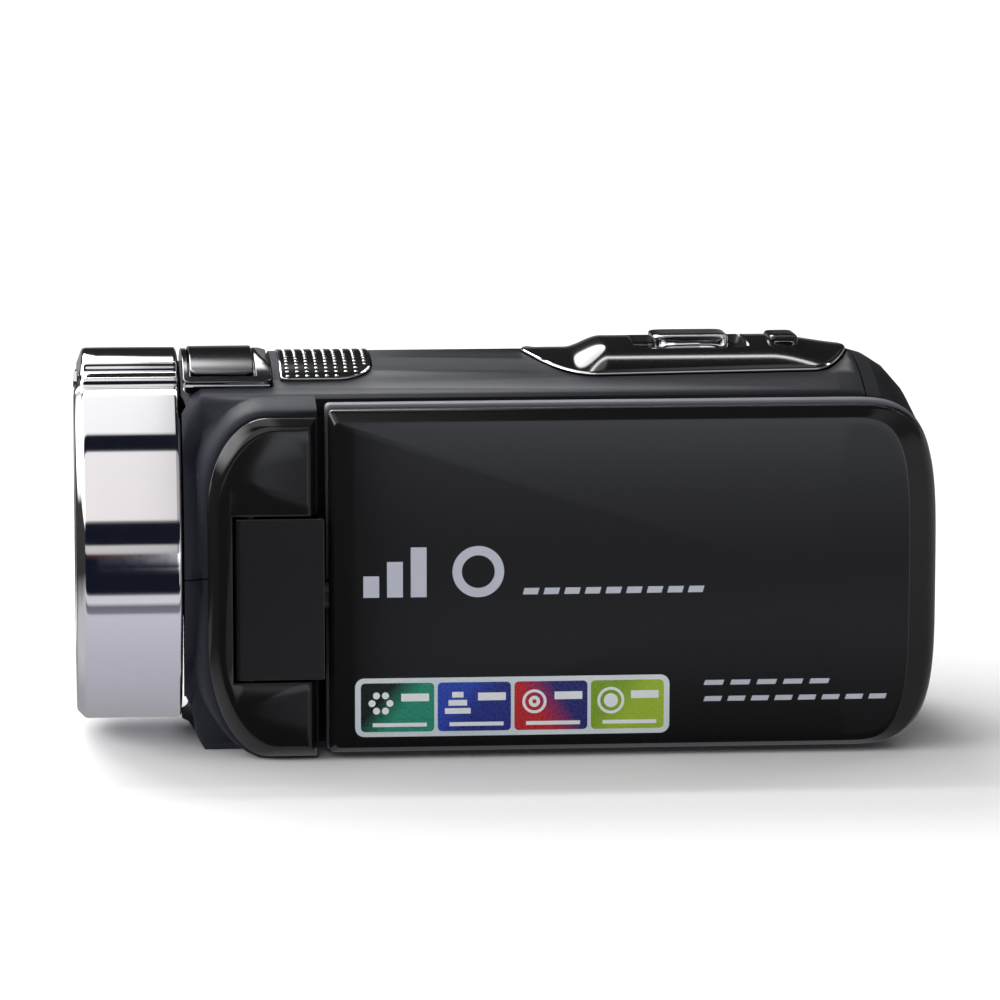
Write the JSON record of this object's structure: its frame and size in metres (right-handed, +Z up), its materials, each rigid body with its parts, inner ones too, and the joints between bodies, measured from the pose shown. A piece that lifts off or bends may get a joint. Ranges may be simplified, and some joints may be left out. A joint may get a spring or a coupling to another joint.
{
  "type": "camcorder",
  "caption": "Pocket camcorder with a swing-out screen on a hinged arm, chrome lens ring with a lamp, zoom lever, shutter button and hand strap.",
  "frame": {"origin": "a point on the flat underside, below the lens axis, half way along the camcorder", "axes": "lens looks along -X, screen on the -Y side, hand strap on the +Y side, +Z up"},
  "size_m": [0.1238, 0.0796, 0.0568],
  "materials": {
    "shell_charcoal": "fine matte grain",
    "gloss_black": "polished",
    "chrome": "bright plated",
    "smoked_chrome": "dark plated",
    "steel": "plain",
    "black_plastic": "fine texture",
    "grey_plastic": "satin",
    "glass": "coated",
    "circuit_board": "solder mask",
    "rubber": "matte",
    "webbing": "woven",
    "pad_fabric": "padded knit",
    "battery_case": "wrapped",
    "red_button": "polished"
  },
  "bodies": {
    "root": {"lens_ring": "chrome", "lamp_window": "glass", "lamp_module": "steel", "hood": "black_plastic", "lens_tube": "black_plastic", "lens_flange": "black_plastic", "front_glass": "glass", "rear_glass": "glass", "retaining_ring": "black_plastic", "image_sensor": "glass", "sensor_board": "circuit_board", "lamp_housing": "smoked_chrome", "lamp_deck": "smoked_chrome", "speaker_grille": "gloss_black", "speaker": "steel", "microphone": "steel", "upper_shell": "shell_charcoal", "lower_shell": "shell_charcoal", "rear_cover": "shell_charcoal", "top_platform": "gloss_black", "platform_trim": "chrome", "hinge_cover": "gloss_black", "swing_pin": "steel", "record_ring": "chrome", "status_lamp": "glass", "battery": "battery_case", "door_pin": "steel", "battery_contacts": "steel", "main_board": "circuit_board", "card_socket": "steel", "memory_card": "black_plastic", "usb_socket": "steel", "video_socket": "steel", "tripod_socket": "steel", "base_screw_1": "steel", "base_screw_2": "steel", "base_screw_3": "steel", "base_screw_4": "steel", "strap_bracket_front": "black_plastic", "strap_bracket_rear": "black_plastic", "strap_webbing": "webbing", "strap_pad": "pad_fabric"},
    "arm": {"hinge_arm": "gloss_black", "tilt_shaft": "steel"},
    "screen": {"screen_cover": "gloss_black", "screen_frame": "grey_plastic", "screen_glass": "glass", "screen_backlight": "steel", "screen_board": "circuit_board"},
    "zoom": {"zoom_lever": "chrome"},
    "shutter": {"shutter_button": "gloss_black"},
    "record": {"record_button": "red_button"},
    "rear_key_upper": {"rear_key_1": "grey_plastic"},
    "rear_key_lower": {"rear_key_2": "grey_plastic"},
    "key_1": {"bay_key_1": "grey_plastic"},
    "key_2": {"bay_key_2": "grey_plastic"},
    "key_3": {"bay_key_3": "grey_plastic"},
    "battery_door": {"battery_door": "shell_charcoal"},
    "latch": {"door_latch": "grey_plastic"},
    "port_cover": {"port_cover": "rubber"}
  },
  "joints": [
    {"name": "screen_swing", "type": "hinge", "parent": "root", "child": "arm", "pos_m": [-0.0379, -0.0252, 0.0228], "axis": [0, 0, -1], "range_deg": [0, 90]},
    {"name": "screen_tilt", "type": "hinge", "parent": "arm", "child": "screen", "pos_m": [-0.0273, -0.02285, 0.0228], "axis": [1, 0, 0], "range_deg": [-90, 180]},
    {"name": "zoom_slide", "type": "slide", "parent": "root", "child": "zoom", "axis": [1, 0, 0], "range_m": [-0.002, 0.002], "stiffness_N_per_m": 200},
    {"name": "shutter_press", "type": "slide", "parent": "root", "child": "shutter", "axis": [0, 0, -1], "range_m": [0, 0.0008], "stiffness_N_per_m": 300},
    {"name": "record_press", "type": "slide", "parent": "root", "child": "record", "axis": [-1, 0, 0], "range_m": [0, 0.0008], "stiffness_N_per_m": 300},
    {"name": "rear_key_upper_press", "type": "slide", "parent": "root", "child": "rear_key_upper", "axis": [-1, 0, 0], "range_m": [0, 0.0005], "stiffness_N_per_m": 300},
    {"name": "rear_key_lower_press", "type": "slide", "parent": "root", "child": "rear_key_lower", "axis": [-1, 0, 0], "range_m": [0, 0.0005], "stiffness_N_per_m": 300},
    {"name": "key_1_press", "type": "slide", "parent": "root", "child": "key_1", "axis": [0, 1, 0], "range_m": [0, 0.0005], "stiffness_N_per_m": 300},
    {"name": "key_2_press", "type": "slide", "parent": "root", "child": "key_2", "axis": [0, 1, 0], "range_m": [0, 0.0005], "stiffness_N_per_m": 300},
    {"name": "key_3_press", "type": "slide", "parent": "root", "child": "key_3", "axis": [0, 1, 0], "range_m": [0, 0.0005], "stiffness_N_per_m": 300},
    {"name": "battery_door_turn", "type": "hinge", "parent": "root", "child": "battery_door", "pos_m": [0.0125, 0.0177, 0.0016], "axis": [1, 0, 0], "range_deg": [0, 90]},
    {"name": "latch_slide", "type": "slide", "parent": "root", "child": "latch", "axis": [0, -1, 0], "range_m": [0, 0.0016]},
    {"name": "port_cover_turn", "type": "hinge", "parent": "root", "child": "port_cover", "pos_m": [0.0305, 0.0244, 0.0051], "axis": [-1, 0, 0], "range_deg": [0, 95]}
  ],
  "couplings": [
    {"joint": "screen_tilt", "follows": "screen_swing", "ratio": 0.33333}
  ]
}
